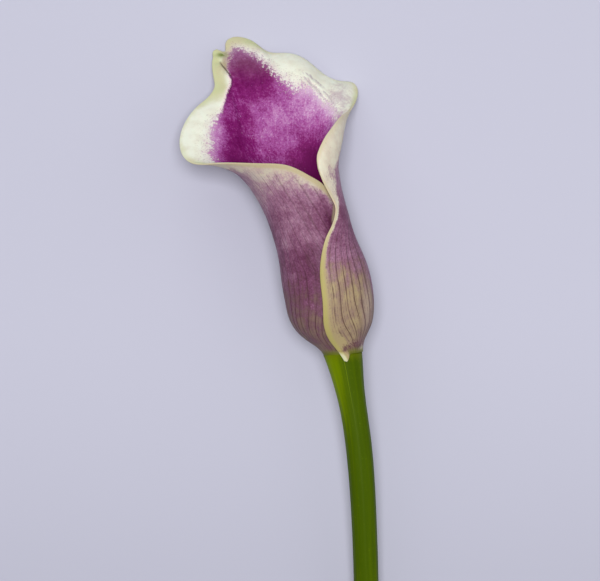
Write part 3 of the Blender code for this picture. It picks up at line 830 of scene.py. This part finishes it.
depth = plus(tone, (cloud, 0.36), (mottle, 0.50), (grain, 0.50), (speck, 0.45), (streak, 0.30))
depth = petal.calc("ADD", depth, step(blush, 3, -0.5, 0, 0.12))
purple = petal.ramp(depth, (
    (0, (104, 2, 82)), (0.25, (128, 24, 106)), (0.50, (166, 84, 156)), (0.72, (194, 136, 188)),
    (1, (230, 212, 228))))
purple = stain(
    purple, (118, 86, 96), "dusty", 0, 1.2, (speck, 0.6), (mottle, 0.6), (streak, 0.6), most=0.55)
# The pale pink specks in the purple are painted glints of the velvety cells; the same noise also places the
# skin's own darker specks near the pale margin.
fleck_and_glint = noise(petal.room, 1 / (0.5 * MM), 1)
purple = stain(purple, (220, 172, 214), fleck_and_glint, 0.37, 0.26, (mottle, -0.2), (tone, -0.25), most=0.45)

throat = stain(inner_pale, (210, 176, 204), blush, -3.5, 1, (mottle, 3), (speck, 2), most=0.42)
near_purple = step(plus(blush, (mottle, 4)), -5, -0.5)
throat = mix(times(step(fleck_and_glint, 0.60, 0.70, 0, 0.55), near_purple), throat, (140, 100, 116))
throat = stain(throat, purple, blush, -1.1, 1.1, (speck, 6), (grain, 5), (streak, 3), (mottle, 1.6))
# Painted shadow: a dark line where the fold's overhang shades the crease.
throat = mix(times(petal.stored("painted_crease_shadow"), 0.75), throat, (84, 62, 56))
print("inside:", len(petal.tree.nodes), "nodes so far")

# %% [markdown]
# ## The outside of the spathe
# Outside, the margin is cream and tan, and the mauve thickens away from it. Towards the foot the bud's
# olive shows through. The veins are thin dark lines, a few millimetres apart and hardly broken, that run
# all the way down to the foot. Marks at nearly even steps along a wandering number line draw them.

# %% Outside: a dusty blush, an olive base and dark veins
creamy, low_flap, covered, veined = (
    petal.stored(name) for name in ("creamy", "low_flap", "covering", "veined"))
dusty_pale = stain((206, 194, 174), (194, 168, 164), mottle, 0.3, 0.7, (grain, 0.8))
cream = stain((228, 222, 200), (220, 208, 188), mottle, 0.35, 0.65)
outer_pale = mix(low_flap, mix(creamy, dusty_pale, cream), (174, 156, 116))
outer_depth = plus(tone, (cloud, 0.45), (mottle, 0.65), (speck, 0.45), (grain, 0.45), (streak, 0.14))
mauve = petal.ramp(outer_depth, (
    (0, (204, 186, 178)), (0.22, (182, 150, 160)), (0.45, (158, 114, 140)), (0.70, (126, 76, 106)),
    (1, (92, 40, 72))))
tan = stain((149, 126, 108), (172, 152, 117), mottle, 0.3, 0.7, (wide_streak, 0.6))
bud = stain((114, 88, 88), (136, 113, 99), mottle, 0.3, 0.7, (streak, 0.8))
mauve = stain(
    mauve, mix(covered, bud, tan), "olive", 0.15, 1.1,
    (wide_streak, 0.5), (streak, 0.35), (mottle, 0.9), (speck, 0.4))
# Painted light on the tube's low right edge.
mauve = stain(mauve, (206, 186, 166), "worn_pale", 0.1, 1, most=0.45)

wander = noise(along_the_veins(0.22, 0.035))
vein = petal.lines(plus(times(across_veins, 0.35), (wander, 0.8)), 0.5)
fine_vein = petal.lines(times(across_veins, 0.9), 0.9)
broken = step(noise(along_the_veins(0.5, 0.06)), 0.30, 0.50)
speckled = step(plus(speck, (grain, 0.6)), 0.35, 0.6)
mauve = mix(times(step(fine_vein, 0.03, 0.20, 1, 0), veined, speckled, 0.45), mauve, (86, 48, 66))
mauve = mix(times(step(vein, 0.02, 0.12, 1, 0), veined, broken, 0.8), mauve, (76, 44, 50))

outside = stain(outer_pale, mauve, blush, -1.5, 2, (speck, 3.5), (grain, 4), (streak, 0.6), (mottle, 7))
rim_colour = mix(low_flap, mix(creamy, (194, 180, 144), (218, 206, 176)), (178, 166, 104))
outside = stain(outside, rim_colour, rim_line, 0.10, 0.70)
outside = stain(
    outside, (92, 52, 70), "plum_spot", 0.2, 1.3, (speck, 1.4), (grain, 1), (mottle, 1.2), most=0.85)
outside = stain(outside, (102, 108, 30), "joint", 0, 1, (streak, 0.4), (mottle, 0.3))
outside = stain(outside, (206, 206, 168), "fleshy_tip", 0.3, 0.9, (mottle, 0.4))
print("outside:", len(petal.tree.nodes), "nodes so far")

# %% [markdown]
# ## Both sides in one skin
# A number that is 1 inside and 0 outside chooses between the two. A little light passes through the petal,
# and the grain also raises its surface slightly.

# %% Put the two sides together
# The green point, darkened with painted shade.
skin_colour = mix(petal.stored("green_tip_painted_shade"), mix(inside, outside, throat), (98, 116, 38))
skin_roughness = plus(step(inside, 0, 1, 0.46, 0.62), (mottle, 0.12))
petal.bump(plus(grain, (streak, 0.7), (mottle, 0.8)), 0.30, 0.22 * MM)
petal.finish(
    spathe, skin_colour, Roughness=skin_roughness, Specular_IOR_Level=0.12, Subsurface_Weight=0.12,
    Subsurface_Radius=(1, 0.5, 0.4), Subsurface_Scale=0.8 * MM)
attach(spathe, "root")
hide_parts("spathe")
print("spathe skin:", len(petal.tree.nodes), "nodes")

# %% [markdown]
# ## The stalk
# The stalk is a plain fleshy rod, thickest where it carries the bloom. Its skin is waxy, with faint
# lengthwise ribs. It is a loft: rings of points along a smooth centre line. Inside the spathe it steps in
# to a collar that the leaf wraps round. The lower end is cut, and the cut shows a pale, slightly hollowed
# pith.

# %% Loft the stalk
STALK_SIDES, STALK_RINGS = 112, 230
STALK_RIBS, BROAD_RIBS, BROAD_SHARE, RIB_HEIGHT = 13, 5, 0.6, 0.045
RIBS_FADE, RINGS_TILT = (-8, 0), -6     # near the shoulder the ribs fade and the rings tilt with the foot
# The collar inside the spathe: how far above the shoulder, radius.
COLLAR = ((0, 5.6), (0.5, 5), (4, 4.4), (4.9, 3.9), (5, 3), (5, 0))
COLLAR_RUN, LEAST_RADIUS = np.array([-0.25, 1, 0]), 0.05
# The cut: how far in from the skin, how deep the face lies there.
CUT_FACE = ((0.25, -0.25), (0.7, -0.2), (1.2, 0.15), (2.2, 0.45), (3.4, 0.6), (4.3, 0.65))


def ring(centre, direction, radii):
    """Points round the direction, which runs up the flower, starting at the front."""
    up = unit(np.asarray(direction, float))
    side = unit(np.cross(up, (0, 0, 1)))
    front = np.cross(side, up)
    turns = np.linspace(0, 2 * math.pi, len(radii), endpoint=False)[:, None]
    return np.asarray(centre) + np.asarray(radii)[:, None] * (np.cos(turns) * front + np.sin(turns) * side)


def loft(rings):
    """Points and faces of a closed solid through rings of equal length."""
    grid = np.arange(len(rings) * len(rings[0])).reshape(len(rings), -1)
    sides = grid_faces(np.column_stack([grid, grid[:, 0]]))
    return np.concatenate(rings), sides.tolist() + [grid[0, ::-1].tolist(), grid[-1].tolist()]


heights = np.linspace(STALK[-1, 0], SHOULDER, STALK_RINGS)
centres_x, centres_z, radii = stalk_at(heights).T
centres = np.stack([centres_x, heights, centres_z], axis=1)
directions = np.gradient(centres, axis=0)
level = soft_step(heights, RINGS_TILT, SHOULDER)[:, None]
directions = (1 - level) * unit(directions) + level * unit(np.array([-FOOT_SLANT, 1, 0]))
turns = np.linspace(0, 2 * math.pi, STALK_SIDES, endpoint=False)
ribbing = RIB_HEIGHT * (np.cos(STALK_RIBS * turns) + BROAD_SHARE * np.cos(BROAD_RIBS * turns + 1))
cut_rings = [
    ring(centres[0] + unit(directions[0]) * depth, directions[0], np.full(STALK_SIDES, radii[0] - inset))
    for inset, depth in CUT_FACE]
skin_rings = [
    ring(centre, direction, radius + ribbing * (1 - soft_step(height, *RIBS_FADE)))
    for centre, direction, radius, height in zip(centres, directions, radii, heights)]
collar_rings = [
    ring(centres[-1] + COLLAR_RUN * rise, directions[-1], np.full(STALK_SIDES, max(radius, LEAST_RADIUS)))
    for rise, radius in COLLAR]
points, faces = loft(cut_rings[::-1] + skin_rings + collar_rings)
stalk = make_piece("green_stalk", points, faces)
store(stalk, "height", points[:, 1])
store(stalk, "turn", np.tile(turns, len(points) // STALK_SIDES))
store(stalk, "cut", np.arange(len(points)) < len(cut_rings) * STALK_SIDES)
print("stalk:", len(points), "points, %.1f mm across at the cut" % (2 * radii[0]))

# %% [markdown]
# ## The stalk's finish
# Fresh green, with painted light on one side near the bloom, streaked lengthwise, and a little duller where
# it meets the spathe. The streaks are noise drawn out along the stalk. The cut is paler, with the darker dots
# of its vessels.

# %% Wax and streaks
wax = Recipe("stalk skin", 0.45)
height, turn = wax.stored("height"), wax.stored("turn")
sideways = wax.calc("SINE", turn)
round_place = wax.join(
    wax.times(sideways, 4.5), wax.times(wax.calc("COSINE", turn), 4.5), wax.times(height, 0.05))
streaks = wax.noise(round_place, 0.9, 3, 0.6)
broad = wax.noise(round_place, 0.28, 1)
specks = wax.noise(wax.room, 1 / (0.7 * MM))
# Painted light: the stalk's skin is lighter on one side near the bloom.
lit_side = wax.times(wax.step(sideways, 0.1, -0.95), wax.step(height, -40, 0), 0.6)
green = wax.stain((66, 88, 0), (120, 142, 0), lit_side, -0.1, 0.7, (streaks, 0.4), (broad, 0.3))
green = wax.stain(green, (130, 150, 20), specks, 0.62, 0.75, most=0.15)
green = wax.stain(green, (104, 114, 10), height, -2.5, 1, (streaks, 2.5), most=0.6)
pith = wax.mix(wax.noise(wax.room, 1 / (0.45 * MM), 1), (150, 170, 92), (214, 222, 176))
wax.bump(wax.plus(streaks, (specks, 0.4)), 0.25, 0.2 * MM)
wax.finish(
    stalk, wax.mix(wax.stored("cut"), green, pith), Specular_IOR_Level=0.05, Subsurface_Weight=0.08,
    Subsurface_Radius=(0.6, 1, 0.3), Subsurface_Scale=MM)
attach(stalk, "root")
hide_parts("stem")
print("stalk skin:", len(wax.tree.nodes), "nodes")

# %% [markdown]
# ## The spadix
# The finger in the throat is not one flower but hundreds. They are packed as seeds are on a sunflower head:
# each is turned from the one before by the golden angle. So the spike is a fine skin, pushed out into a
# small dome at each floret's place.

# %% Pack the florets on the spike
SPIKE = np.array([
    (6.2, 3.1), (8, 3.6), (12, 3.9), (20, 3.8), (28, 3.7), (36, 3.2), (42, 2.3), (45, 1.3),
    (46, 0.4)])
SPIKE_SIDES, SPIKE_RINGS = 132, 220
FLORETS, FLORET_RADIUS, FLORET_HEIGHT = 620, 0.62, 0.26
GOLDEN = math.pi * (3 - math.sqrt(5))

heights = np.linspace(SPIKE[0, 0], SPIKE[-1, 0], SPIKE_RINGS)
radii = smooth(*SPIKE.T, heights)[:, 0]
middle_line = smooth(THROAT[:, 0], THROAT[:, 1:3], heights)
turns = np.linspace(0, 2 * math.pi, SPIKE_SIDES, endpoint=False)
skin_area = np.insert((radii[1:] * np.diff(heights)).cumsum(), 0, 0)
floret_heights = np.interp(np.linspace(0, 1, FLORETS), skin_area / skin_area[-1], heights)
floret_turns = np.arange(FLORETS) * GOLDEN % (2 * math.pi)
domes = np.zeros((SPIKE_RINGS, SPIKE_SIDES))
for floret_height, floret_turn in zip(floret_heights, floret_turns):
    rows = np.abs(heights - floret_height) < FLORET_RADIUS
    turned = (turns - floret_turn + math.pi) % (2 * math.pi) - math.pi
    sideways = turned[None, :] * radii[rows][:, None]
    distance = np.hypot(sideways, (heights[rows] - floret_height)[:, None]) / FLORET_RADIUS
    domes[rows] = np.maximum(domes[rows], np.sqrt(np.clip(1 - distance**2, 0, 1)))
rings = [
    ring((x, height, z), (0, 1, 0), np.maximum(radius + FLORET_HEIGHT * dome * min(1, radius), LEAST_RADIUS))
    for height, radius, (x, z), dome in zip(heights, radii, middle_line, domes)]
points, faces = loft(rings)
spike = make_piece("floret_spike", points, faces)
store(spike, "dome", domes.ravel())
store(spike, "up", np.repeat(np.linspace(0, 1, SPIKE_RINGS), SPIKE_SIDES))
print("spadix:", FLORETS, "florets,", len(points), "points")

# %% [markdown]
# ## The spadix's finish
# The upper florets bear yellow pollen, a dull powder. The lowest ones, deep in the throat, are greener.
# Each dome is painted lighter on top and darker in the gaps between domes: painted shade in the gaps.

# %% Pollen
pollen = Recipe("pollen", 0.85)
dome = pollen.stored("dome")
powder = pollen.noise(pollen.room, 1 / (0.35 * MM))
# Painted shade: each floret darkens from its top into the gaps between domes.
yellow = pollen.stain((176, 120, 30), (240, 206, 96), dome, 0.1, 0.9, (powder, 0.4))
lower = pollen.mix(dome, (140, 138, 70), (206, 208, 140))
pollen.bump(powder, 0.5, 0.1 * MM)
pollen.finish(spike, pollen.stain(lower, yellow, "up", 0.18, 0.42, (powder, 0.1)))
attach(spike, "root")
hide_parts("spadix")
print("pollen:", len(pollen.tree.nodes), "nodes")

# %% [markdown]
# ## The floor and the light
# A pale, cool sheet of card and very soft light show petals best. Most of the light falls from high above.
# A wide window past the tip and a weaker one on the right model the folds, and a pale room fills the rest.

# %% Card
FLOOR_SIZE, FAR_END = 6, (-0.16, 0.03)        # metres; the card gets lighter between these places in Y
bpy.context.scene.view_settings.view_transform = "Standard"
floor_mesh = bpy.data.meshes.new("floor")
corners = [(x * FLOOR_SIZE / 2, y * FLOOR_SIZE / 2, 0) for x, y in ((-1, -1), (1, -1), (1, 1), (-1, 1))]
floor_mesh.from_pydata(corners, [], [(0, 1, 2, 3)])
floor = add_object("floor", floor_mesh)
card = Recipe("floor", 0.9)
how_far = card.node("SeparateXYZ", card.room).outputs["Y"]
# Painted light: the card is painted darker towards the stem's end, as light falling off across it.
shade = card.stain((180, 180, 196), (196, 196, 213), how_far, *FAR_END)
card.finish(floor, shade, Specular_IOR_Level=0.1)
print("card: %.0f m square" % FLOOR_SIZE)

# %% [markdown]
# ## Lamps
# Each lamp is a square of light, like a window with a thin blind: the larger the square, the softer its
# shadows.

# %% Lamps
ROOM_STRENGTH, AIM = 0.16, Vector((-20, 60, 25))
# Place in the flower's frame, side of the square in metres, power in watts. All are aimed at the mouth.
LAMPS = {
    "overhead": ((-20, 60, 1350), 0.4, 13.7),
    "window": ((-330, 740, 740), 1, 2.1),
    "fill": ((680, 60, 480), 1, 1.3)}

world = bpy.data.worlds.new("pale room")
bpy.context.scene.world = world
world.use_nodes = True
world.node_tree.nodes["Background"].inputs["Color"].default_value = (1, 1, 1, 1)
world.node_tree.nodes["Background"].inputs["Strength"].default_value = ROOM_STRENGTH
for name, (position, size, power) in LAMPS.items():
    lamp = bpy.data.lights.new(name, "AREA")
    lamp.size, lamp.energy = size, power
    start, end = place @ (Vector(position) * MM), place @ (AIM * MM)
    turn = (end - start).to_track_quat("-Z", "Y").to_matrix().to_4x4()
    add_object(name, lamp).matrix_world = Matrix.Translation(start) @ turn
print("lamps:", ", ".join(LAMPS))

# %% [markdown]
# ## The camera
# A long lens far above the bloom looks along the flower's own Z, straight into the mouth. From that far off
# the near lobe and the far lobe come out at almost the same scale, as they do to the eye.

# %% Camera
CAMERA_AT = Vector((-15.48, 23.58, 933))
SENSOR, LENS, NEAREST = 36, 150, 0.05       # two in millimetres, then metres
lens = bpy.data.cameras.new("camera")
lens.sensor_width, lens.lens, lens.clip_start = SENSOR, LENS, NEAREST
camera = add_object("camera", lens)
camera.matrix_world = place @ Matrix.Translation(CAMERA_AT * MM)
bpy.context.scene.camera = camera
print("the camera is %.2f m above the floor" % camera.matrix_world.translation.z)
